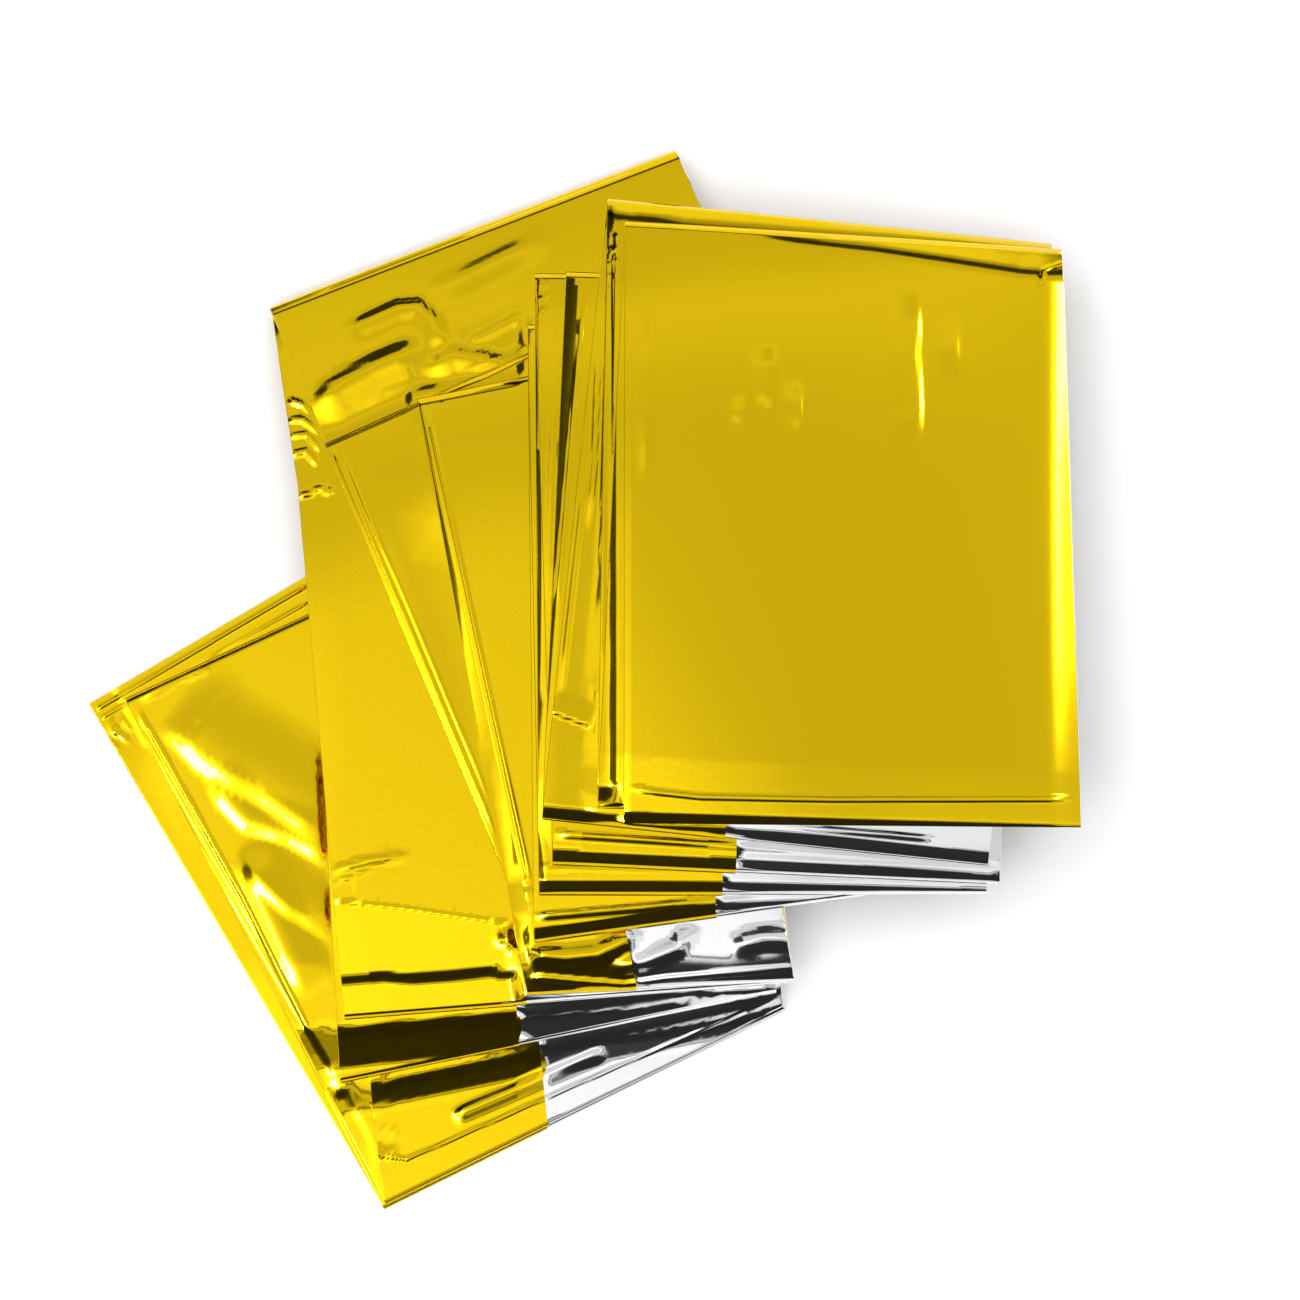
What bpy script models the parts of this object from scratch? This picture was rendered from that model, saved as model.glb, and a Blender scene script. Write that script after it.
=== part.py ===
"""Emergency foil blanket, gold outside and silver inside, in metres, +Z up.

The film is folded lengthwise to a narrow strip, and the strip back and forth into leaves.
The pile has been fanned open on a table: each leaf lies on the ones below it and sags to
the table beyond them. The strip is one closed solid that runs through every fold.
"""
import math

import bmesh
import bpy
from mathutils import Vector

MM = 0.001

STRIP_WIDTH = 75.6  # mm, the strip across its plies
STRIP_THICK = 1.0  # mm, all plies of the strip together
LEAF_GAP = 0.42  # mm of air between two leaves
LEAF_PITCH = STRIP_THICK + LEAF_GAP
FOLD_RADIUS = LEAF_PITCH / 2
FOLD_REACH = FOLD_RADIUS + STRIP_THICK / 2  # from a leaf's flat end to its fold's outer edge
SAG_LENGTH = 95.0

CELLS_ACROSS = 8
CELLS_ALONG = 10
FOLD_SEGMENTS = 3

# One row for each place where the strip is folded, and a few where it only turns or is pinched,
# from the end that lies on the table to the top leaf. x, y: the left end of the row's line in mm.
# turn: the line's direction in degrees from +X. width: how much of the strip's width is left.
# side: which way a fold bulges, "front" to -Y and "back" to +Y; a bend has none.
SECTIONS = [
    # name, kind, side, x, y, turn, width
    ("end on the table", "end", "back", -84.1, -4.1, 30.4, 1.00),
    ("corner fold 1", "fold", "front", -33.9, -90.1, 26.3, 1.00),
    ("corner fold 2", "fold", "back", -77.9, -3.1, 24.8, 1.00),
    ("corner fold 3", "fold", "front", -33.6, -89.2, 25.9, 1.00),
    ("under fold 4", "fold", "back", -45.1, 6.8, 19.0, 1.00),
    ("front fold 5", "fold", "front", -41.2, -68.5, 11.6, 1.00),
    ("under fold 6", "fold", "back", -46.8, 35.7, 8.0, 1.00),
    ("front fold 7", "fold", "front", -40.5, -57.6, 4.6, 1.00),
    ("buckled corner", "bend", "", -48.4, 33.0, 7.0, 1.00),
    ("back fold 8", "fold", "back", -53.3, 63.2, 21.2, 0.98),
    ("under fold 9", "fold", "front", -11.6, -34.0, 21.5, 1.00),
    ("fan fold 10", "fold", "back", -43.8, 40.0, 24.0, 1.00),
    ("fan neck", "bend", "", -14.2, -30.6, 19.0, 0.90),
    ("fan pinch", "bend", "", -9.6, -42.8, 6.8, 0.58),
    ("pinched fold 11", "fold", "front", -9.6, -53.4, 2.8, 0.60),
    ("roll pinch", "bend", "", -11.5, -43.4, 6.5, 0.60),
    ("roll neck", "bend", "", -13.8, -30.6, 14.0, 0.90),
    ("fan fold 12", "fold", "back", -28.1, 47.6, 11.4, 1.00),
    ("stair fold 13", "fold", "front", -8.2, -44.4, 7.9, 1.00),
    ("side fold 14", "fold", "back", -9.4, 60.0, 1.0, 1.00),
    ("stair fold 15", "fold", "front", -7.5, -36.3, -0.1, 1.00),
    ("side fold 16", "fold", "back", -8.2, 68.6, -1.0, 1.00),
    ("stair fold 17", "fold", "front", -5.3, -31.1, -2.7, 1.00),
    ("side fold 18", "fold", "back", -2.9, 68.8, -2.5, 1.00),
    ("stair fold 19", "fold", "front", -7.0, -23.4, -6.1, 1.00),
    ("top fold 20", "fold", "back", 4.1, 81.1, -5.6, 1.00),
    ("under fold 21", "fold", "front", 2.4, -21.5, -1.0, 1.00),
    ("top fold 22", "fold", "back", 7.0, 77.2, -3.4, 0.98),
    ("end on top", "end", "front", 6.8, -23.9, -0.6, 1.02),
]


class Section:
    """A straight line across the strip."""

    def __init__(self, row):
        self.name, self.kind, side, x, y, turn, width = row
        angle = math.radians(turn)
        along = Vector((math.cos(angle), math.sin(angle)))
        self.outward = Vector((-along.y, along.x)) * (1 if side == "back" else -1)
        self.left = Vector((x, y))
        self.right = self.left + along * STRIP_WIDTH * width

    def line(self, inset=0.0):
        """The line's two ends, moved back from the outer edge of its fold."""
        shift = self.outward * inset
        return self.left - shift, self.right - shift


def split_leaves(sections):
    """The sections of each leaf: from one fold to the next, with the bends between them."""
    leaves, current = [], []
    for section in sections:
        current.append(section)
        if section.kind != "bend" and len(current) > 1:
            leaves.append(current)
            current = [section]
    return leaves


def leaf_lines(leaf):
    """The lines across one leaf, its two folds taken at their flat ends."""
    return [s.line(FOLD_REACH if s.kind == "fold" else 0.0) for s in leaf]


def outline_panels(leaf):
    """The four-sided panels that a leaf covers, out to the edges of its folds."""
    lines = [s.line() for s in leaf]
    return [(a[0], a[1], b[1], b[0]) for a, b in zip(lines, lines[1:])]


def distance_outside(point, panel):
    """How far a point lies outside a four-sided panel, 0 inside it."""
    nearest, signs = math.inf, []
    for start, end in zip(panel, panel[1:] + panel[:1]):
        edge, to_point = end - start, point - start
        share = min(1.0, max(0.0, to_point.dot(edge) / edge.length_squared))
        nearest = min(nearest, (to_point - edge * share).length)
        signs.append(edge.x * to_point.y - edge.y * to_point.x > 0)
    return 0.0 if all(signs) or not any(signs) else nearest


def lift(point, panels):
    """How much of a leaf's pitch it lifts what lies over this point: 1 on it, 0 far away."""
    away = min(distance_outside(point, panel) for panel in panels) / SAG_LENGTH
    return (1 - away * away) ** 2 if away < 1 else 0.0


def rest_height(point, number, covers):
    """The height of leaf `number`'s middle, on all the leaves below it."""
    below = sum(lift(point, covers[i]) for i in range(number))
    return STRIP_THICK / 2 + LEAF_PITCH * below


def across(line, share):
    return line[0].lerp(line[1], share)


def strip_stations(leaves):
    """Rows of points along the strip's middle surface, in mm, from one end to the other."""
    covers = [outline_panels(leaf) for leaf in leaves]
    shares = [i / CELLS_ACROSS for i in range(CELLS_ACROSS + 1)]
    rows = []
    for number, leaf in enumerate(leaves):
        lines = leaf_lines(leaf)
        lengths = [(a[0] - b[0]).length + (a[1] - b[1]).length for a, b in zip(lines, lines[1:])]
        for part, (first, last) in enumerate(zip(lines, lines[1:])):
            cells = max(1, round(CELLS_ALONG * lengths[part] / sum(lengths)))
            for step in range(cells + (part == len(lengths) - 1)):
                row = []
                for share in shares:
                    place = across(first, share).lerp(across(last, share), step / cells)
                    row.append(place.to_3d() + Vector((0, 0, rest_height(place, number, covers))))
                rows.append(row)
        if leaf[-1].kind == "fold":
            rows += fold_arc(rows[-1], leaf[-1], number, covers)
    return rows


def fold_arc(row, fold, number, covers):
    """The rows round a fold, from the leaf below it to the leaf above."""
    arc = []
    for step in range(1, FOLD_SEGMENTS):
        angle = math.pi * step / FOLD_SEGMENTS
        reach = fold.outward * FOLD_RADIUS * math.sin(angle)
        points = []
        for low in row:
            place = low.to_2d()
            high = rest_height(place, number + 1, covers)
            middle = (low.z + high) / 2
            points.append((place + reach).to_3d() + Vector((0, 0, middle - FOLD_RADIUS * math.cos(angle))))
        arc.append(points)
    return arc


def foil_material():
    material = bpy.data.materials.new("gold_foil")
    material.use_nodes = True
    shader = material.node_tree.nodes["Principled BSDF"]
    shader.inputs["Base Color"].default_value = (0.83, 0.60, 0.02, 1)
    shader.inputs["Metallic"].default_value = 1.0
    shader.inputs["Roughness"].default_value = 0.12
    return material


def foil_blanket(collection):
    """The strip's middle surface, given its thickness by a Solidify."""
    rows = strip_stations(split_leaves([Section(row) for row in SECTIONS]))
    bm = bmesh.new()
    grid = [[bm.verts.new(point * MM) for point in row] for row in rows]
    for near, far in zip(grid, grid[1:]):
        for i in range(CELLS_ACROSS):
            bm.faces.new((near[i], far[i], far[i + 1], near[i + 1]))
    mesh = bpy.data.meshes.new("foil_blanket")
    bm.to_mesh(mesh)
    bm.free()
    blanket = bpy.data.objects.new("foil_blanket", mesh)
    blanket.data.materials.append(foil_material())
    collection.objects.link(blanket)
    thickness = blanket.modifiers.new("plies", "SOLIDIFY")
    thickness.thickness = STRIP_THICK * MM
    thickness.offset = 0
    thickness.use_even_offset = True
    return blanket


for old in list(bpy.context.scene.objects):
    bpy.data.objects.remove(old)
parts = bpy.data.collections.new("emergency_foil_blanket")
bpy.context.scene.collection.children.link(parts)
foil_blanket(parts)
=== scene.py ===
"""Emergency foil blanket: one piece of metallised film, folded and fanned open on a table."""
import math

import bmesh
import bpy
import numpy as np
from mathutils import Matrix, Vector


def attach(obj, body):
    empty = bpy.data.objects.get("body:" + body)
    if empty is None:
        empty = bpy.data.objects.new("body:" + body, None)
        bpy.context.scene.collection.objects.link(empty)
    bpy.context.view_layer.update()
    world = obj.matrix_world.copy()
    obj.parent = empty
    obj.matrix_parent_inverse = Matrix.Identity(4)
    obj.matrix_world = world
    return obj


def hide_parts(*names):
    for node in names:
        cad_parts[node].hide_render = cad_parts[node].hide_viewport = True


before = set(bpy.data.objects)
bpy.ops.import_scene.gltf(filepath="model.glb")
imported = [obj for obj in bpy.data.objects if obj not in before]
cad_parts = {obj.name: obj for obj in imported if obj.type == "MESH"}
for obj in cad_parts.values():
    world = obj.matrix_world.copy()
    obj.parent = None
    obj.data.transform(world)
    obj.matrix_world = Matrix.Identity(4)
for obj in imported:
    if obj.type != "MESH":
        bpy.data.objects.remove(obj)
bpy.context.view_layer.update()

# ---------------------------------------------------------------------------------------------
# The film. Polyester film of 12 micrometres, metallised gold on one side and silver on the
# other. It is folded lengthwise to a strip about three inches wide, and the strip back and
# forth into leaves of four inches. The folds spring open a little, so no leaf is quite flat.

MM = 0.001
STRIP_WIDTH = 75.6  # mm, as all sizes of the film
STRIP_THICK = 1.0
LEAF_PITCH = 1.42  # from the middle of one leaf to the next
FOLD_RADIUS = LEAF_PITCH / 2
FOLD_REACH = FOLD_RADIUS + STRIP_THICK / 2
SAG_LENGTH = 95.0  # beyond a leaf's edge, where those on it have sagged right down
FOLD_ROWS = 4
SIDE_INSET = 0.2  # how far the film stays inside the strip's sides

# Where the strip is folded, turned or pinched, from the end on the table to the top leaf.
# x, y: left end of the line in mm. turn: degrees from +X. width: share of the strip's width.
# rows: how finely the leaf that starts there is laid out.
SECTIONS = [
    # name, kind, side, x, y, turn, width, rows
    ("end on the table", "end", "back", -84.1, -4.1, 30.4, 1.00, 8),
    ("corner fold 1", "fold", "front", -33.9, -90.1, 26.3, 1.00, 8),
    ("corner fold 2", "fold", "back", -77.9, -3.1, 24.8, 1.00, 9),
    ("corner fold 3", "fold", "front", -33.6, -89.2, 25.9, 1.00, 9),
    ("under fold 4", "fold", "back", -45.1, 6.8, 19.0, 1.00, 8),
    ("front fold 5", "fold", "front", -41.2, -68.5, 11.6, 1.00, 9),
    ("under fold 6", "fold", "back", -46.8, 35.7, 8.0, 1.00, 8),
    ("front fold 7", "fold", "front", -40.5, -57.6, 4.6, 1.00, 8),
    ("buckled corner", "bend", "", -48.4, 33.0, 7.0, 1.00, 4),
    ("back fold 8", "fold", "back", -53.3, 63.2, 21.2, 0.98, 10),
    ("under fold 9", "fold", "front", -11.6, -34.0, 21.5, 1.00, 10),
    ("fan fold 10", "fold", "back", -43.8, 40.0, 24.0, 1.00, 8),
    ("fan neck", "bend", "", -14.2, -30.6, 19.0, 0.90, 3),
    ("fan pinch", "bend", "", -9.6, -42.8, 6.8, 0.58, 3),
    ("pinched fold 11", "fold", "front", -9.6, -53.4, 2.8, 0.60, 3),
    ("roll pinch", "bend", "", -11.5, -43.4, 6.5, 0.60, 3),
    ("roll neck", "bend", "", -13.8, -30.6, 14.0, 0.90, 8),
    ("fan fold 12", "fold", "back", -28.1, 47.6, 11.4, 1.00, 11),
    ("stair fold 13", "fold", "front", -8.2, -44.4, 7.9, 1.00, 11),
    ("side fold 14", "fold", "back", -9.4, 60.0, 1.0, 1.00, 11),
    ("stair fold 15", "fold", "front", -7.5, -36.3, -0.1, 1.00, 11),
    ("side fold 16", "fold", "back", -8.2, 68.6, -1.0, 1.00, 11),
    ("stair fold 17", "fold", "front", -5.3, -31.1, -2.7, 1.00, 11),
    ("side fold 18", "fold", "back", -2.9, 68.8, -2.5, 1.00, 11),
    ("stair fold 19", "fold", "front", -7.0, -23.4, -6.1, 1.00, 11),
    ("top fold 20", "fold", "back", 4.1, 81.1, -5.6, 1.00, 12),
    ("under fold 21", "fold", "front", 2.4, -21.5, -1.0, 1.00, 12),
    ("top fold 22", "fold", "back", 7.0, 77.2, -3.4, 0.98, 16),
    ("end on top", "end", "front", 6.8, -23.9, -0.6, 1.02, 0),
]

# The film across the strip, as the leaf with its gold side up shows it, from top to bottom.
# start, end: shares of the strip's width. height: mm above the strip's middle. cells: how many
# lie side by side in the ply.
PLIES = [
    # name, start, end, height, cells
    ("gold face", 1.0, 0.0, 0.44, 8),
    ("inner ply", 0.0, 1.0, 0.14, 6),
    ("silver face", 1.0, 0.0, -0.18, 8),
    ("gold flap", 0.0, 0.41, -0.44, 4),
]
SIDE_FOLD_CELLS = 3
FILM_THICK = 0.04
HIDDEN_EARLIER = 3.0  # how far the plies inside a bent leaf bend before its face
HIDDEN_LOWER = 0.24  # how far they are pressed down under it


def straight_line(row, inset):
    """A section's two ends, moved back from the outer edge of its fold, and its way out."""
    name, kind, side, x, y, turn, width, rows = row
    along = np.array([math.cos(math.radians(turn)), math.sin(math.radians(turn))])
    outward = np.array([-along[1], along[0]]) * (1 if side == "back" else -1)
    left = np.array([x, y]) - outward * inset
    return left, left + along * STRIP_WIDTH * width, outward


def split_leaves():
    """The sections of each leaf: from one fold to the next, with the bends between them."""
    made, current = [], []
    for row in SECTIONS:
        current.append(row)
        if row[1] != "bend" and len(current) > 1:
            made.append(current)
            current = [row]
    return made


def distance_outside(points, panel):
    """How far points lie outside a four-sided panel, 0 inside it."""
    nearest = np.full(len(points), np.inf)
    left, right = np.ones(len(points), bool), np.ones(len(points), bool)
    for start, end in zip(panel, panel[1:] + panel[:1]):
        edge = end - start
        to_point = points - start
        share = np.clip(to_point @ edge / (edge @ edge), 0, 1)
        nearest = np.minimum(nearest, np.linalg.norm(to_point - share[:, None] * edge, axis=1))
        turn = edge[0] * to_point[:, 1] - edge[1] * to_point[:, 0]
        left &= turn > 0
        right &= turn <= 0
    return np.where(left | right, 0.0, nearest)


def leaf_distance(points, leaf):
    """How far points lie outside a leaf, seen from above."""
    lines = [straight_line(row, 0.0) for row in leaf]
    panels = [[a[0], a[1], b[1], b[0]] for a, b in zip(lines, lines[1:])]
    return np.min([distance_outside(points, panel) for panel in panels], axis=0)


def rest_heights(points, distances=None):
    """The height of each leaf's middle over these points, on all the leaves below it."""
    heights = [np.full(len(points), STRIP_THICK / 2)]
    for number, leaf in enumerate(leaves):
        away = leaf_distance(points, leaf) if distances is None else distances[number]
        away = np.minimum(away / SAG_LENGTH, 1.0)
        heights.append(heights[-1] + LEAF_PITCH * (1 - away * away) ** 2)
    return np.array(heights)


def closer_at_ends(t):
    """Shares from 0 to 1, moved together at both ends."""
    return t - 0.5 * math.sin(2 * math.pi * t) / (2 * math.pi)


def lay_out_rows():
    """One entry for each row of cells: its leaf, its two lines and shares, or its fold and angles."""
    cells = []
    for number, leaf in enumerate(leaves):
        lines = [straight_line(row, FOLD_REACH if row[1] == "fold" else 0.0) for row in leaf]
        for part, (first, last) in enumerate(zip(lines, lines[1:])):
            count = leaf[part][7]
            share = [i / count for i in range(count + 1)]
            if len(lines) == 2:
                share = [closer_at_ends(t) for t in share]
            for t0, t1 in zip(share, share[1:]):
                cells.append(("leaf", number, first, last, t0, t1))
        if leaf[-1][1] == "fold":
            for i in range(FOLD_ROWS):
                cells.append(("fold " + leaf[-1][2], number, lines[-1], lines[-1],
                              math.pi * i / FOLD_ROWS, math.pi * (i + 1) / FOLD_ROWS))
    return cells


def lay_out_columns():
    """The film's places across the strip: share of its width, mm beside it, mm off its middle."""
    places = []
    for number, (name, start, end, height, cells) in enumerate(PLIES):
        for i in range(cells + 1):
            places.append((start + (end - start) * closer_at_ends(i / cells), 0.0, height))
        if number + 1 < len(PLIES):
            below = PLIES[number + 1][3]
            side = -1 if end == 0.0 else 1
            for i in range(1, SIDE_FOLD_CELLS):
                angle = math.pi * i / SIDE_FOLD_CELLS
                radius = (height - below) / 2
                off = (height + below) / 2 + radius * math.cos(angle)
                places.append((end, side * radius * math.sin(angle), off))
    return np.array(places)


def film_places(rows, columns):
    """Where the film's points lie in mm: rows and columns count cells along and across it."""
    share = np.interp(columns, np.arange(len(column_places)), column_places[:, 0])
    beside = np.interp(columns, np.arange(len(column_places)), column_places[:, 1])
    off = np.interp(columns, np.arange(len(column_places)), column_places[:, 2])
    cell = np.minimum(rows.astype(int), len(row_cells) - 1)
    t = rows - cell
    number = np.array([row_cells[c][1] for c in cell])
    first = np.array([[row_cells[c][2][0], row_cells[c][2][1]] for c in cell])
    last = np.array([[row_cells[c][3][0], row_cells[c][3][1]] for c in cell])
    outward = np.array([row_cells[c][2][2] for c in cell])
    low = np.array([row_cells[c][4] for c in cell])
    value = low + (np.array([row_cells[c][5] for c in cell]) - low) * t
    fold = np.array([row_cells[c][0].startswith("fold") for c in cell])
    gold_outside = np.array([1 if row_cells[c][0] == "fold back" else -1 for c in cell])
    run = np.where(fold, 0.0, value)[:, None]
    left = first[:, 0] + (last[:, 0] - first[:, 0]) * run
    right = first[:, 1] + (last[:, 1] - first[:, 1]) * run
    along = (right - left) / np.linalg.norm(right - left, axis=1)[:, None]
    left, right = left + along * SIDE_INSET, right - along * SIDE_INSET
    flat = left + (right - left) * share[:, None] + along * beside[:, None]
    heights = rest_heights(flat)
    here = np.arange(len(flat))
    low, high = heights[number, here], heights[np.minimum(number + 1, len(leaves)), here]
    gold_up = np.where(number % 2 == 0, 1, -1)
    angle = np.where(fold, value, 0.0)
    reach = FOLD_RADIUS + gold_outside * off
    z = np.where(fold, (low + high) / 2 - reach * np.cos(angle), low + gold_up * off)
    flat = flat + outward * (np.where(fold, reach * np.sin(angle), 0.0))[:, None]
    return np.column_stack([flat, z])


def smooth(t):
    """Rises softly from 0 to 1 with t, and stays there on both sides."""
    t = np.clip(t, 0, 1)
    return t * t * (3 - 2 * t)


# Soft ridges along a line of points in mm. left, right: mm from the crest to the foot, seen along
# the line. height: mm, below 0 a trough. ends: mm over which it dies away at both ends.
RIDGES = [
    # name, leaf, line, left, right, height, ends
    ("top leaf's left streak", 23, [(31.4, 44.5), (31.3, 50), (31.7, 56.5)], 4.0, 1.3, 0.26, 4.0),
    ("top leaf's middle streak", 23, [(36.4, 41.0), (36.1, 50.5)], 4.0, 1.2, 0.24, 4.0),
    ("top leaf's long streak", 23, [(55.7, 37.0), (56.1, 46), (55.6, 55), (56.0, 66.0)], 5.0, 1.4, 0.30, 7.0),
    ("top leaf's small streak", 23, [(26.2, 42.0), (26.6, 48.0)], 2.5, 1.2, 0.16, 3.0),
    ("top leaf's faint streak", 23, [(62.4, 50.0), (62.1, 62.0)], 4.0, 1.6, 0.16, 6.0),
    ("top leaf's edge shine", 23, [(10.6, 33.0), (10.7, 62.0)], 2.0, 1.6, 0.20, 8.0),
    ("top leaf's wavy line", 23, [(7.6, -17.7), (11.6, -18.6), (19.8, -19.5), (41.6, -19.9), (82.5, -19.9)],
     0.8, 0.8, 0.17, 3.0),
    ("top leaf's corner crease", 23, [(76.9, 66.4), (77.6, 69.2), (81.5, 70.6)], 0.5, 0.5, 0.16, 1.0),
    ("streak from the corner", 3,
     [(-71.5, -6.5), (-67.4, -9.4), (-63.8, -13.2), (-55.7, -17.6), (-42.0, -26.6)], 14.0, 3.6, 0.42, 7.0),
    ("middle streak", 3, [(-63.2, -14.8), (-60.6, -20.0), (-57.0, -23.8), (-49.4, -26.2), (-41.5, -30.6)],
     6.0, 2.6, 0.30, 5.0),
    ("fork streak", 3, [(-58.2, -27.5), (-54.4, -33.9), (-49.4, -38.4), (-41.5, -43.0)], 9.0, 2.6, 0.31, 6.0),
    ("low streak", 3, [(-58.4, -29.0), (-53.8, -38.6), (-50.2, -46.6), (-45.8, -53.4)], 7.0, 3.2, 0.40, 6.0),
    ("corner leaf's long line", 3, [(-75.4, -5.2), (-70.8, -13.6), (-57.8, -36.9), (-46.2, -60.5)],
     0.7, 0.6, 0.16, 3.0),
    ("first leaf's back line 1", 1, [(-82.8, -5.0), (-40.0, 20.1)], 0.5, 0.5, 0.15, 1.0),
    ("first leaf's back line 2", 1, [(-82.0, -6.6), (-40.0, 17.0)], 0.4, 0.4, 0.12, 1.0),
    ("first leaf's back line 3", 1, [(-76.0, -5.2), (-40.0, 14.4)], 0.4, 0.4, 0.10, 1.0),
    ("corner leaf's back crease", 3, [(-76.0, -3.0), (-72.6, -1.8), (-69.0, 0.6), (-63.0, 2.4)],
     1.6, 1.4, 0.16, 3.0),
    ("hook", 9,
     [(-41.0, 58.6), (-36.5, 60.9), (-31.4, 63.2), (-28.0, 63.5), (-25.3, 60.9), (-23.4, 57.4),
      (-20.5, 56.2)], 1.7, 3.6, 0.31, 5.0),
    ("hook's tail", 9, [(-20.8, 56.6), (-15.0, 59.4), (-9.2, 62.6)], 1.1, 1.8, 0.15, 3.0),
    ("long loop", 9, [(-47.0, 45.0), (-41.5, 49.6), (-36.0, 52.8), (-30.0, 55.4), (-26.0, 55.4)],
     3.0, 6.0, 0.56, 6.0),
    ("short loop", 9, [(-27.5, 51.5), (-22.0, 54.8), (-16.5, 54.2), (-11.0, 51.2)], 2.6, 5.0, 0.44, 5.0),
    ("low loop", 9, [(-44.5, 43.0), (-37.0, 47.6), (-30.0, 49.6), (-23.0, 49.4)], 1.6, 3.2, 0.09, 5.0),
    ("soft swell", 9, [(-27.0, 65.0), (-16.0, 70.5), (-5.0, 76.0)], 2.4, 4.0, 0.27, 9.0),
    ("side ridge", 8, [(-43.4, -32.6), (-37.0, -30.6), (-29.0, -29.4)], 1.0, 1.2, 0.20, 5.0),
    ("side ridge's foot", 8, [(-43.0, -34.6), (-35.0, -31.6)], 0.6, 0.6, 0.10, 4.0),
    ("long crease", 8, [(-42.3, -37.3), (-30.0, -38.6), (-11.0, -41.4)], 0.4, 0.4, 0.10, 1.0),
    ("buckle 1", 8, [(-50.4, 47.6), (-47.4, 46.6), (-44.8, 44.4)], 1.0, 0.9, 0.22, 1.5),
    ("buckle 2", 8, [(-50.4, 44.0), (-47.6, 44.2), (-44.2, 41.8), (-43.0, 39.6)], 0.9, 1.0, 0.20, 1.5),
    ("buckle 3", 8, [(-50.2, 41.4), (-46.8, 41.6), (-44.0, 38.6)], 0.8, 0.9, 0.18, 1.5),
    ("buckle 4", 8, [(-50.0, 38.0), (-47.0, 38.8), (-44.6, 36.2)], 0.9, 1.0, 0.20, 1.5),
    ("buckle at the neck", 8, [(-15.4, -43.4), (-12.0, -44.0), (-8.0, -46.4)], 2.6, 2.0, 0.55, 3.0),
    ("bright buckle", 8, [(-48.9, 30.6), (-45.0, 32.2), (-41.5, 32.0)], 0.8, 0.7, 0.25, 2.0),
    ("roll swirl 1", 12, [(-9.5, -46.0), (-3.0, -46.8), (2.5, -46.2), (6.8, -43.8), (9.0, -40.0)],
     2.6, 2.6, 0.58, 3.0),
    ("roll swirl 2", 12, [(4.0, -49.0), (10.5, -47.6), (15.8, -45.0), (18.6, -40.6)], 2.3, 2.4, 0.56, 4.0),
    ("roll swirl 3", 12, [(37.0, -43.4), (30.5, -43.2), (24.2, -45.0)], 3.0, 2.4, 0.74, 4.0),
    ("roll's low ridge", 12, [(-9.5, -50.0), (0.0, -50.9), (7.0, -51.4), (14.0, -50.4), (36.0, -48.4)],
     1.0, 1.3, 0.26, 2.0),
    ("corner leaf's fold line", 4, [(-36.4, -80.5), (-30.0, -81.4), (-10.0, -72.6), (34.0, -53.4)],
     0.5, 0.5, 0.14, 4.0),
    ("olive bar", 4, [(-22.5, -74.0), (-8.0, -67.8), (4.0, -62.8)], 1.3, 2.6, 0.44, 2.5),
    ("stair 1's ply", 14, [(30.0, -35.6), (10.0, -38.0), (-8.6, -39.6)], 1.5, 0.6, 0.30, 3.0),
    ("stair 2's ply", 16, [(50.0, -32.4), (-7.4, -31.0)], 1.1, 0.5, 0.22, 4.0),
    ("stair 3's ply", 18, [(70.4, -30.2), (-5.1, -25.6)], 1.3, 0.5, 0.26, 3.0),
    ("stair 4's ply", 20, [(60.0, -26.6), (20.0, -22.6), (4.0, -21.0)], 1.1, 0.5, 0.22, 4.0),
    ("window crease", 20, [(-5.6, -4.9), (-2.0, -6.2), (1.6, -7.6)], 4.0, 0.8, 0.20, 1.0),
    ("window's brown back", 20, [(1.2, 24.0), (2.2, 36.0), (3.2, 60.0)], 1.5, 0.5, 0.24, 8.0),
    ("window's dark strip", 20, [(-3.6, -6.0), (-2.2, 8.0), (-0.4, 24.0), (1.4, 40.0)], 1.4, 0.5, 0.22, 12.0),
    ("window's fold", 19, [(-4.4, 12.0), (-2.0, 40.0), (0.6, 66.0)], 0.8, 0.5, 0.13, 6.0),
    ("side leaf's ply 1", 15, [(-8.8, -30.0), (-9.0, 30.0), (-9.0, 59.0)], 0.5, 0.4, 0.08, 3.0),
    ("side leaf's ply 2", 16, [(-7.9, 4.0), (-8.1, 57.0)], 0.5, 0.4, 0.08, 5.0),
    ("side leaf's ply 3", 17, [(-6.6, -20.0), (-7.4, 30.0), (-7.6, 66.0)], 0.6, 0.4, 0.10, 4.0),
    ("side leaf's soft back", 17, [(-5.2, 10.0), (-4.6, 38.0), (-3.4, 62.0)], 1.6, 1.0, 0.25, 10.0),
    ("upper leaf's ply 1", 21, [(3.6, -16.0), (3.6, 40.0), (4.4, 78.0)], 0.9, 0.5, 0.145, 5.0),
    ("upper leaf's ply 2", 21, [(5.2, 26.0), (5.5, 40.0), (5.7, 76.0)], 0.8, 0.5, 0.13, 5.0),
    ("fan's edge line", 11, [(-42.3, 39.4), (-29.0, 8.0), (-13.0, -29.8)], 0.5, 0.6, 0.15, 3.0),
    ("fan's second line", 11, [(-41.0, 39.0), (-27.6, 8.0), (-12.4, -28.0)], 0.4, 0.4, 0.09, 3.0),
    ("second fan's edge line", 13, [(-26.4, 46.6), (-17.8, 7.0), (-7.4, -40.0)], 0.5, 0.6, 0.15, 3.0),
]

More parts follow.
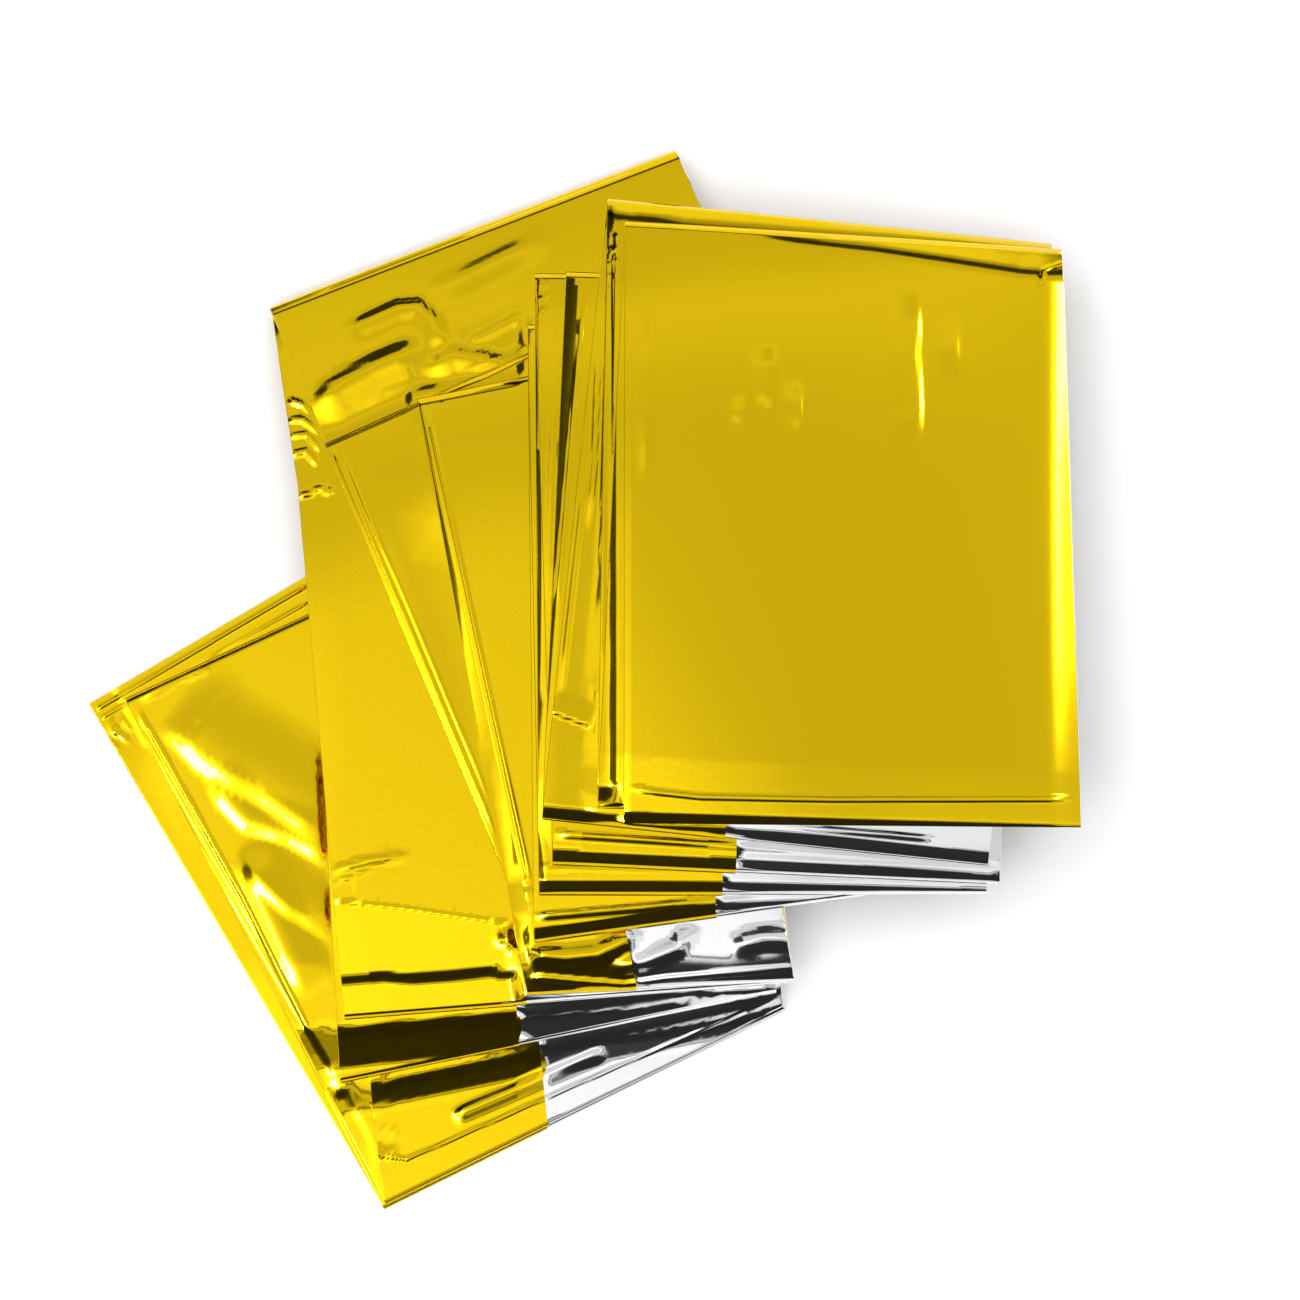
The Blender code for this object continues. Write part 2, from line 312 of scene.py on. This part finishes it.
# Where a leaf bends down along a line and stays on its new slope to the line's left, over reach mm.
# slope: mm down for each mm. soft: mm over which it bends. depth: leaves under it that give way.
BENDS = [
    # name, leaf, line, slope, soft, reach, depth
    ("top leaf's back roll", 23,
     [(7.7, 76.9), (19.1, 75.6), (27.3, 74.4), (35.3, 72.8), (48.9, 71.2), (60.3, 69.4), (73.4, 67.2),
      (81.3, 66.6)], 0.42, 2.6, 9.0, 8),
    ("top leaf's front pleat", 23, [(83.6, -15.6), (19.8, -13.1), (9.1, -12.4)], 0.020, 0.4, 20.0, 3),
    ("top leaf's front roll", 23, [(84.0, -24.0), (6.0, -21.6)], 0.40, 0.6, 4.0, 3),
    ("top leaf's right roll", 23, [(77.0, 76.0), (77.7, -24.0)], 0.18, 3.6, 9.0, 6),
    ("top leaf's left side", 23, [(8.1, -24.0), (8.2, 77.0)], 0.14, 0.5, 1.2, 2),
    ("back rim", 9, [(-53.0, 61.4), (16.5, 88.2)], 0.44, 0.5, 3.0, 3),
    ("fan rim 1", 11, [(-44.0, 38.6), (26.0, 69.5)], 0.44, 0.4, 3.0, 2),
    ("fan rim 2", 13, [(-28.2, 46.0), (47.0, 61.0)], 0.44, 0.4, 3.0, 2),
    ("fan edge 1", 11, [(-13.4, -30.2), (-43.4, 40.0)], 0.35, 0.8, 1.6, 2),
    ("fan edge 2", 13, [(-7.8, -43.0), (-27.3, 47.2)], 0.35, 0.8, 1.6, 2),
    ("below the long crease", 8, [(-11.0, -41.4), (-42.5, -37.3)], 0.03, 0.4, 30.0, 3),
    ("dark strip", 8,
     [(-9.0, -49.0), (-16.0, -48.2), (-22.0, -48.9), (-29.0, -49.4), (-34.0, -49.0), (-41.0, -49.6)],
     0.38, 0.4, 1.8, 4),
    ("roll's dark side", 12, [(37.5, -43.2), (24.0, -45.2), (8.0, -44.2), (-10.0, -45.4)], 0.31, 4.0, 8.0, 3),
    ("front drop", 6, [(36.0, -50.0), (-42.0, -58.2)], 0.42, 0.8, 7.5, 5),
    ("corner drop", 4, [(36.0, -52.6), (-42.0, -68.4)], 0.42, 0.9, 5.2, 3),
    ("corner leaf's front roll", 4, [(35.5, -52.0), (-4.0, -71.8), (-34.5, -87.0)], 0.36, 0.3, 2.6, 1),
    ("edge of the corner leaf", 3, [(-45.5, -60.0), (-75.5, -7.5)], 0.25, 0.6, 1.0, 2),
    ("window leaf's left side", 19, [(-5.4, -22.0), (-3.4, 20.0), (-0.2, 68.0)], 0.235, 0.3, 3.0, 2),
    ("side leaf's left side 1", 15, [(-8.6, -35.0), (-8.3, 59.5)], 0.24, 0.3, 0.9, 1),
    ("side leaf's left side 2", 17, [(-6.4, -30.0), (-7.2, 68.0)], 0.42, 0.3, 0.9, 1),
    ("upper leaf's left side", 21, [(3.4, -21.0), (5.2, 80.0)], 0.24, 0.3, 1.4, 2),
    ("stair 1's roll", 14, [(66.4, -31.6), (-8.5, -41.6)], 0.33, 0.3, 3.4, 1),
    ("stair 2's roll", 16, [(68.1, -33.8), (-7.5, -33.4)], 0.33, 0.3, 3.4, 1),
    ("stair 3's roll", 18, [(70.3, -32.0), (-5.2, -28.2)], 0.33, 0.3, 3.4, 1),
    ("stair 4's roll", 20, [(68.3, -28.7), (-6.9, -20.8)], 0.33, 0.3, 3.4, 1),
    ("upper leaf's front roll", 22, [(9.0, -18.2), (2.0, -17.6)], 0.36, 0.3, 3.0, 1),
    ("upper leaf's dark side", 22, [(6.5, -22.0), (6.5, 30.0)], 0.235, 0.3, 1.9, 1),
]

# Where the film is crushed into small pleats. x, y: the middle. half_x, half_y: mm to its border
# along and across turn, in degrees. pitch: mm from pleat to pleat. height: mm, of the pleats.
CRUMPLES = [
    # name, leaf, x, y, half_x, half_y, turn, pitch, height
    ("side fold 1's corner", 15, -8.4, 58.5, 3.0, 2.2, 20, 1.8, 0.08),
    ("side fold 2's corner", 17, -7.2, 64.0, 5.5, 1.8, 80, 2.4, 0.10),
    ("upper fold's corner", 21, 5.0, 72.0, 8.0, 2.6, 85, 2.2, 0.10),
    ("corner leaf's low corner", 4, -35.0, -80.5, 6.0, 3.6, 60, 4.4, 0.16),
    ("back leaf's left corner", 9, -50.5, 53.0, 6.0, 2.0, 100, 2.4, 0.08),
    ("corner leaf's back corner", 1, -79.6, -9.0, 3.6, 3.2, 30, 2.4, 0.12),
    ("pinched neck", 11, -10.6, -43.0, 3.6, 3.0, 70, 2.4, 0.14),
    ("roll's neck", 13, -9.4, -36.0, 5.0, 1.8, 100, 2.2, 0.09),
]

RUN_ON = 150.0  # how far a bend's line runs on at both ends
BEND_SETS_IN = 2.5  # from the edge of the leaf that covers it
CREASE_SETS_IN = 1.5
FOOT_ROUNDING = 0.7
UNDER_LEAF = 0.1  # the gap under a leaf
LEAST_ROOM = 0.05
PRESSED_MOST = 0.8  # share of the room under a leaf that its bend takes up
SHALLOW_BEND = 1.5  # bends less deep than this die away in the leaves under them
LOWER_DIES_AWAY = 10.0


def along_line(points, line):
    """How far points lie along a line and to its left, in mm, and how long the line is."""
    nearest = np.full(len(points), np.inf)
    along, beside, gone = np.zeros(len(points)), np.zeros(len(points)), 0.0
    for start, end in zip(line, line[1:]):
        start, way = np.array(start), np.array(end) - np.array(start)
        length = np.hypot(*way)
        to_point = points[:, :2] - start
        share = np.clip(to_point @ way / length ** 2, 0, 1)
        off = np.linalg.norm(to_point - share[:, None] * way, axis=1)
        side = np.where(way[0] * to_point[:, 1] - way[1] * to_point[:, 0] > 0, 1, -1)
        closer = off < nearest
        nearest = np.where(closer, off, nearest)
        along = np.where(closer, gone + share * length, along)
        beside = np.where(closer, side * off, beside)
        gone += length
    return along, beside, gone


def bend_past(points, line):
    """How far points lie to the left of a bend's line in mm, the line running on at both ends."""
    (ax, ay), (bx, by), (cx, cy), (dx, dy) = line[0], line[1], line[-2], line[-1]
    first, last = RUN_ON / math.hypot(bx - ax, by - ay), RUN_ON / math.hypot(dx - cx, dy - cy)
    longer = [(ax - (bx - ax) * first, ay - (by - ay) * first)] + line
    return along_line(points, longer + [(dx + (dx - cx) * last, dy + (dy - cy) * last)])[1]


def crumple_place(points, x, y, half_x, half_y, turn):
    """Points in a crumple's own directions, and 1 in its middle falling to 0 at its border."""
    near = points[:, :2] - np.array([x, y])
    way = np.array([math.cos(math.radians(turn)), math.sin(math.radians(turn))])
    u, v = near @ way, near @ np.array([-way[1], way[0]])
    return u, v, smooth(1 - np.sqrt((u / half_x) ** 2 + (v / half_y) ** 2))


def leaf_and_face(rows, columns):
    """Each point's leaf, counted from 1, and whether it lies on the face that the leaf shows."""
    number = np.array([row_cells[c][1] for c in np.minimum(rows.astype(int), len(row_cells) - 1)])
    share = np.interp(columns, np.arange(len(column_places)), column_places[:, 0])
    turns = np.cumsum([cells + SIDE_FOLD_CELLS for name, start, end, height, cells in PLIES])
    gold_up = columns <= turns[0] - SIDE_FOLD_CELLS
    gold_down = (columns >= turns[2]) | (columns >= turns[1]) & (share > PLIES[3][2] + 0.02)
    return number + 1, np.where(number % 2 == 0, gold_up, gold_down)


def distance_to_cover(distances):
    """For each leaf, how far points lie from the leaves above it, in mm."""
    nearest = [np.full(len(distances[0]), np.inf)]
    for away in distances[:0:-1]:
        nearest.append(np.minimum(nearest[-1], away))
    return nearest[::-1]


def past_bend(beside, soft, reach):
    """How far points lie down a bend's new slope, which is rounded at its top and at its foot."""
    past = np.where(beside > soft, beside - soft / 2, beside ** 2 / (2 * soft))
    rounding = min(FOOT_ROUNDING, reach / 3)
    foot = reach - (reach + rounding - past) ** 2 / (4 * rounding)
    return np.where(past < reach - rounding, past, np.where(past > reach + rounding, reach, foot))


def press_and_crease(points, leaf_of, shown):
    """Gives the flat leaves their bends and ridges, where no leaf lies on them."""
    distances = [leaf_distance(points[:, :2], leaf) for leaf in leaves]
    heights, clear = rest_heights(points, distances), distance_to_cover(distances)
    for name, leaf, line, slope, soft, reach, depth in BENDS:
        near = np.flatnonzero((clear[leaf - 1] > 0) & (leaf_of <= leaf + 1) & (leaf_of >= leaf - depth - 1))
        beside = bend_past(points[near], line)
        beside = np.where(shown[near], beside, beside + HIDDEN_EARLIER)
        near, beside = near[beside > 0], beside[beside > 0]
        past = past_bend(beside, soft, reach)
        under = heights[leaf - 1][near] - STRIP_THICK / 2 - UNDER_LEAF
        start = np.maximum(under - depth * LEAF_PITCH, 0.0)
        room = np.maximum(under - start, LEAST_ROOM)
        drop = slope * past * smooth(clear[leaf - 1][near] / BEND_SETS_IN)
        drop = np.minimum(drop, PRESSED_MOST * room)
        if slope * reach < SHALLOW_BEND:
            outside = smooth(distances[leaf - 1][near] / LOWER_DIES_AWAY)
            drop = np.where(leaf_of[near] < leaf, drop * (1 - outside), drop)
        points[near, 2] -= drop * np.clip((points[near, 2] - start) / room, 0, 1)
    for name, leaf, line, left, right, height, ends in RIDGES:
        near = np.flatnonzero(shown & (leaf_of == leaf) & (clear[leaf - 1] > 0))
        along, beside, length = along_line(points[near], line)
        off = np.abs(beside) / np.where(beside > 0, left, right)
        fade = smooth(np.minimum(along, length - along) / ends)
        fade *= smooth(clear[leaf - 1][near] / CREASE_SETS_IN)
        points[near, 2] += height * np.cos(math.pi / 2 * np.clip(off, 0, 1)) ** 2 * fade
    for name, leaf, x, y, half_x, half_y, turn, pitch, height in CRUMPLES:
        near = np.flatnonzero(shown & (leaf_of == leaf) & (clear[leaf - 1] > 0))
        u, v, middle = crumple_place(points[near], x, y, half_x, half_y, turn)
        step = 2 * math.pi / pitch
        pleats = np.sin(step * u + 1.6 * np.sin(step * v / 2.7 + 0.8))
        pleats = pleats + 0.5 * np.sin(step * (0.6 * u - 1.1 * v) + 2.0)
        pleats = np.where(pleats > 0, pleats, 0.15 * pleats)
        points[near, 2] += height * pleats * middle * smooth(clear[leaf - 1][near] / CREASE_SETS_IN)


def creased_film(rows, columns, leaf_of, shown):
    """Where the film's points lie in mm, with all its bends and creases."""
    points = film_places(rows, columns)
    press_and_crease(points, leaf_of, shown)
    lowered = np.maximum(points[:, 2] - HIDDEN_LOWER, np.minimum(points[:, 2], LEAST_ROOM))
    points[:, 2] = np.where(shown, points[:, 2], lowered)
    return points


# How large the film's cells may be, in mm, on each kind of place.
CELL_PLAIN = 14.0
CELL_BEND = 0.85
CELL_BEND_SIDE = 1.5
CELL_UNDER_BEND = 4.0
CELL_DEEPER = 8.0
CELL_RIDGE_LEAST = 0.45
CELL_RIDGE_STEEP = 0.75
CELL_RIDGE_MOST = 0.95
STEEP_RIDGE = 0.17  # its height, as a share of its width
CELL_HALF = 0.35  # share of its size by which a cell reaches out from its middle
COVERED_EDGE = 3.5  # what may be left of a cell under another leaf
BEND_MARGIN = 0.3
FOOT_MARGIN = 0.4
CRISP_FOOT_REACH = 8.0
CRISP_FOOT_SLOPE = 0.2
SLIGHT_SLOPE = 0.1
SIDE_MARGIN = 3.0
HIDDEN_SIDE_MARGIN = 4.0
HIDDEN_FOOT_MARGIN = 2.0
CELLS_A_PLEAT = 4
CRUMPLE_MARGIN = 1.0


def cell_size_wanted(points, size, leaf_of, shown):
    """How large the film's cells may be, in mm, to follow its bends and creases. size: as they are now."""
    wanted = np.full(len(points), CELL_PLAIN)
    shares = distance_to_cover([leaf_distance(points[:, :2], leaf) for leaf in leaves])
    clear = [np.maximum(away, size - COVERED_EDGE) for away in shares]
    for name, leaf, line, slope, soft, reach, depth in BENDS:
        here = np.flatnonzero((clear[leaf - 1] > 0) & (leaf_of <= leaf) & (leaf_of > leaf - depth))
        beside, half = bend_past(points[here], line), size[here] * CELL_HALF
        face = shown[here] & (leaf_of[here] == leaf)
        foot = np.abs(beside - reach) < FOOT_MARGIN + half
        foot &= (reach < CRISP_FOOT_REACH) & (slope > CRISP_FOOT_SLOPE)
        bent = (beside > -BEND_MARGIN - half) & ((beside < soft + BEND_MARGIN + half) | foot)
        side = (beside > -half) & (clear[leaf - 1][here] < SIDE_MARGIN + half) & (slope > SLIGHT_SLOPE)
        wanted[here[face & bent]] = np.minimum(wanted[here[face & bent]], max(CELL_BEND, soft / 3))
        wanted[here[face & side]] = np.minimum(wanted[here[face & side]], CELL_BEND_SIDE)
        hidden = (beside < reach + HIDDEN_FOOT_MARGIN) | (clear[leaf - 1][here] < HIDDEN_SIDE_MARGIN)
        inside = here[hidden & ~face & (beside > -HIDDEN_EARLIER) & (slope > SLIGHT_SLOPE)]
        cell = np.where(leaf_of[inside] >= leaf - 1, CELL_UNDER_BEND, CELL_DEEPER)
        wanted[inside] = np.minimum(wanted[inside], cell)
    for name, leaf, line, left, right, height, ends in RIDGES:
        here = np.flatnonzero(shown & (leaf_of == leaf) & (clear[leaf - 1] > 0))
        along, beside, length = along_line(points[here], line)
        half = size[here] * CELL_HALF
        near = here[(beside < left + half) & (beside > -right - half)]
        most = CELL_RIDGE_STEEP if abs(height) > STEEP_RIDGE * min(left, right) else CELL_RIDGE_MOST
        wanted[near] = np.minimum(wanted[near], min(max(min(left, right) / 2, CELL_RIDGE_LEAST), most))
    for name, leaf, x, y, half_x, half_y, turn, pitch, height in CRUMPLES:
        u, v, middle = crumple_place(points, x, y, half_x + CRUMPLE_MARGIN, half_y + CRUMPLE_MARGIN, turn)
        near = (middle > 0) & (clear[leaf - 1] > 0) & shown & (leaf_of == leaf)
        wanted[near] = np.minimum(wanted[near], pitch / CELLS_A_PLEAT)
    return wanted


leaves = split_leaves()
row_cells = lay_out_rows()
column_places = lay_out_columns()

# The film starts as a flat sheet, a unit to a cell, and its cells are halved where it bends.
CELL_LIMIT = 2.1  # times the wanted size, above which a cell is halved
HALVINGS = 5
bm = bmesh.new()
wide, tall = len(column_places) - 1, len(row_cells)
bmesh.ops.create_grid(bm, x_segments=wide, y_segments=tall, size=1.0)
bmesh.ops.transform(bm, matrix=Matrix.Diagonal((wide / 2, tall / 2, 1, 1)), verts=bm.verts)
bmesh.ops.translate(bm, vec=(wide / 2, tall / 2, 0), verts=bm.verts)
for level in range(HALVINGS):
    bm.faces.ensure_lookup_table()
    middles = np.array([face.calc_center_median()[:2] for face in bm.faces])
    corners = np.array([[min(vertex.co[i] for vertex in face.verts) for i in (0, 1)]
                        + [max(vertex.co[i] for vertex in face.verts) for i in (0, 1)] for face in bm.faces])
    low, high = film_places(corners[:, 1], corners[:, 0]), film_places(corners[:, 3], corners[:, 2])
    size = np.linalg.norm(high[:, :2] - low[:, :2], axis=1)
    places = film_places(middles[:, 1], middles[:, 0])
    large = size > CELL_LIMIT * cell_size_wanted(places, size, *leaf_and_face(middles[:, 1], middles[:, 0]))
    chosen = dict.fromkeys(edge for face, big in zip(bm.faces, large) if big for edge in face.edges)
    bmesh.ops.subdivide_edges(bm, edges=list(chosen), cuts=1, use_grid_fill=True)
    bmesh.ops.triangulate(bm, faces=[face for face in bm.faces if len(face.verts) > 4])
    bm.normal_update()

# Each point is laid in its fold. Points a step away show which way its gold side faces.
cells = np.array([vertex.co[:2] for vertex in bm.verts])
faces_of = leaf_and_face(cells[:, 1], cells[:, 0])
points = creased_film(cells[:, 1], cells[:, 0], *faces_of)
STEP = 0.02  # of a cell
ahead = creased_film(np.minimum(cells[:, 1] + STEP, tall), cells[:, 0], *faces_of)
behind = creased_film(np.maximum(cells[:, 1] - STEP, 0), cells[:, 0], *faces_of)
right = creased_film(cells[:, 1], np.minimum(cells[:, 0] + STEP, wide), *faces_of)
left = creased_film(cells[:, 1], np.maximum(cells[:, 0] - STEP, 0), *faces_of)
gold_way = np.cross(right - left, ahead - behind)
gold_way /= np.linalg.norm(gold_way, axis=1)[:, None]
layer = bm.verts.layers.float_vector.new("gold_way")
for vertex, point, way in zip(bm.verts, points, gold_way):
    vertex.co = point
    vertex[layer] = Vector(way)
bm.normal_update()
bmesh.ops.solidify(bm, geom=bm.faces[:], thickness=FILM_THICK)
bmesh.ops.scale(bm, vec=(MM, MM, MM), verts=bm.verts)
bm.normal_update()
GOLD, SILVER = 0, 1
for face in bm.faces:
    face.smooth = True
    way = sum((vertex[layer] for vertex in face.verts), Vector()).normalized()
    face.material_index = GOLD if way.dot(face.normal) > 0 else SILVER
mesh = bpy.data.meshes.new("film")
bm.to_mesh(mesh)
bm.free()
ways = np.zeros(len(mesh.vertices) * 3, np.float32)
mesh.attributes["gold_way"].data.foreach_get("vector", ways)
ways = ways.reshape(-1, 3)
corner_ways = []
EDGE_ON = 0.25  # below which a face is the film's cut edge, and stays flat
for polygon in mesh.polygons:
    flat = np.array(polygon.normal)
    for vertex in polygon.vertices:
        agree = float(ways[vertex] @ flat)
        corner_ways.append(flat if abs(agree) < EDGE_ON else ways[vertex] * (1 if agree > 0 else -1))
mesh.attributes.remove(mesh.attributes["gold_way"])
mesh.normals_split_custom_set(corner_ways)
film = bpy.data.objects.new("film", mesh)
bpy.context.scene.collection.objects.link(film)


def metal_film(name, colour, roughness):
    """Metallised film: a slightly blurred mirror with the faint grain of thin plastic."""
    material = bpy.data.materials.new(name)
    material.use_nodes = True
    nodes, links = material.node_tree.nodes, material.node_tree.links
    shader = nodes["Principled BSDF"]
    shader.inputs["Base Color"].default_value = (*colour, 1)
    shader.inputs["Metallic"].default_value = 1.0
    shader.inputs["Roughness"].default_value = roughness
    where = nodes.new("ShaderNodeTexCoord")
    grain = nodes.new("ShaderNodeTexNoise")
    grain.inputs["Scale"].default_value = 900
    grain.inputs["Detail"].default_value = 3
    bump = nodes.new("ShaderNodeBump")
    bump.inputs["Strength"].default_value = 0.03
    bump.inputs["Distance"].default_value = 0.0002
    links.new(where.outputs["Object"], grain.inputs["Vector"])
    links.new(grain.outputs["Fac"], bump.inputs["Height"])
    links.new(bump.outputs["Normal"], shader.inputs["Normal"])
    return material


film.data.materials.append(metal_film("gold_side", (0.88, 0.60, 0.006), 0.10))
film.data.materials.append(metal_film("silver_side", (0.86, 0.87, 0.88), 0.10))
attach(film, "root")
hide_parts("foil_blanket")

# ---------------------------------------------------------------------------------------------
# The table top that the blanket lies on: smooth white card, wide enough to fill every view.

bm = bmesh.new()
bmesh.ops.create_grid(bm, x_segments=1, y_segments=1, size=6.0)
mesh = bpy.data.meshes.new("floor")
bm.to_mesh(mesh)
bm.free()
floor = bpy.data.objects.new("floor", mesh)
bpy.context.scene.collection.objects.link(floor)
card = bpy.data.materials.new("white_card")
card.use_nodes = True
card.node_tree.nodes["Principled BSDF"].inputs["Base Color"].default_value = (0.88, 0.88, 0.89, 1)
card.node_tree.nodes["Principled BSDF"].inputs["Roughness"].default_value = 0.7
floor.data.materials.append(card)

# ---------------------------------------------------------------------------------------------
# The studio: a pale room with a dark front and dark bands behind, and dark doorways at its left.
# Two small lamps only shine in the film, and two large diffusers only light the table.

world = bpy.data.worlds.new("room")
bpy.context.scene.world = world
world.use_nodes = True
bpy.context.scene.view_settings.view_transform = "Standard"
nodes, links = world.node_tree.nodes, world.node_tree.links
background = nodes["Background"]
background.inputs["Color"].default_value = (1, 1, 1, 1)
where = nodes.new("ShaderNodeTexCoord")
split = nodes.new("ShaderNodeSeparateXYZ")
links.new(where.outputs["Generated"], split.inputs[0])


def room_bands(axis, stops):
    """Brightness across the room, by one axis of the direction from -1 to 1."""
    spread = nodes.new("ShaderNodeMapRange")
    spread.inputs["From Min"].default_value = -1
    links.new(split.outputs[axis], spread.inputs["Value"])
    bands = nodes.new("ShaderNodeValToRGB")
    ramp = bands.color_ramp
    for number, (place, bright) in enumerate(stops):
        at = (place + 1) / 2
        stop = ramp.elements[number] if number < 2 else ramp.elements.new(at)
        stop.position = at
        stop.color = (bright, bright, bright, 1)
    links.new(spread.outputs[0], bands.inputs[0])
    return bands.outputs["Color"]


def combine(operation, first, second):
    """A sum or product of two brightnesses, either of which may be a plain number."""
    node = nodes.new("ShaderNodeMath")
    node.operation = operation
    for socket, value in zip(node.inputs, (first, second)):
        if isinstance(value, float):
            socket.default_value = value
        else:
            links.new(value, socket)
    return node.outputs[0]


front_to_back = room_bands("Y", [
    (-1.0, 0.95), (-0.95, 0.85), (-0.92, 0.02), (-0.50, 0.02), (-0.40, 0.75), (-0.37, 0.80), (-0.35, 0.07),
    (-0.315, 0.07), (-0.295, 0.95), (-0.07, 0.92), (-0.01, 0.66), (0.12, 0.66), (0.22, 0.80), (0.27, 0.80),
    (0.32, 0.68), (0.51, 0.64), (0.55, 0.03), (0.69, 0.03), (0.71, 0.42), (0.76, 0.50), (0.80, 0.98),
    (1.0, 1.0)])
left_side = room_bands("X", [(-1.0, 1.0), (-0.045, 1.0), (0.09, 0.0), (1.0, 0.0)])
near_zenith = room_bands("Y", [(-0.3, 0.0), (-0.05, 1.0), (0.0, 0.9), (0.06, 0.15), (0.12, 0.0)])
brighter = combine("MULTIPLY", combine("MULTIPLY", left_side, near_zenith), 0.48)
doorways = room_bands("X", [
    (-1.0, 1.0), (-0.93, 0.95), (-0.82, 0.0), (-0.61, 0.0), (-0.57, 0.96), (-0.38, 0.96), (-0.33, 0.0),
    (0.94, 0.0), (0.97, 0.95), (1.0, 0.95)])
beside_wall = room_bands("Y", [(-1.0, 0.0), (-0.18, 0.0), (-0.12, 1.0), (1.0, 1.0)])
dimmed = combine("SUBTRACT", 1.0, combine("MULTIPLY", doorways, beside_wall))
bands = combine("MULTIPLY", front_to_back, combine("ADD", brighter, 1.0))
links.new(combine("MULTIPLY", bands, dimmed), background.inputs["Strength"])


def soft_box(name, way, distance, width, height, power, shine, light):
    """A lamp turned to the blanket. shine: whether the film mirrors it. light: if it lights the table."""
    lamp_data = bpy.data.lights.new(name, "AREA")
    lamp_data.shape = "RECTANGLE"
    lamp_data.size, lamp_data.size_y, lamp_data.energy = width, height, power
    lamp = bpy.data.objects.new(name, lamp_data)
    bpy.context.scene.collection.objects.link(lamp)
    lamp.location = Vector(way).normalized() * distance
    lamp.rotation_euler = (-Vector(way)).to_track_quat("-Z", "Y").to_euler()
    lamp.visible_camera, lamp.visible_glossy, lamp.visible_diffuse = False, shine, light


soft_box("left strip lamp", (-0.25, -0.24, 0.938), 3.0, 0.5, 0.5, 110, True, False)
soft_box("right strip lamp", (0.74, 0.18, 0.648), 3.0, 0.38, 0.38, 45, True, False)
soft_box("overhead diffuser", (0.0, 0.0, 1.0), 2.6, 3.2, 3.2, 71, False, True)
soft_box("side diffuser", (-0.55, 0.45, 0.8), 2.5, 1.4, 1.4, 12, False, True)

# ---------------------------------------------------------------------------------------------
# The camera, straight above the pile.

camera_data = bpy.data.cameras.new("camera")
camera_data.sensor_width = 36.0
camera_height = 2.0
view_width = 0.221
camera_data.lens = camera_data.sensor_width * camera_height / view_width
camera = bpy.data.objects.new("camera", camera_data)
camera.location = (0.0113, 0.0051, camera_height)
camera_data.clip_end = 20
bpy.context.scene.collection.objects.link(camera)
bpy.context.scene.camera = camera
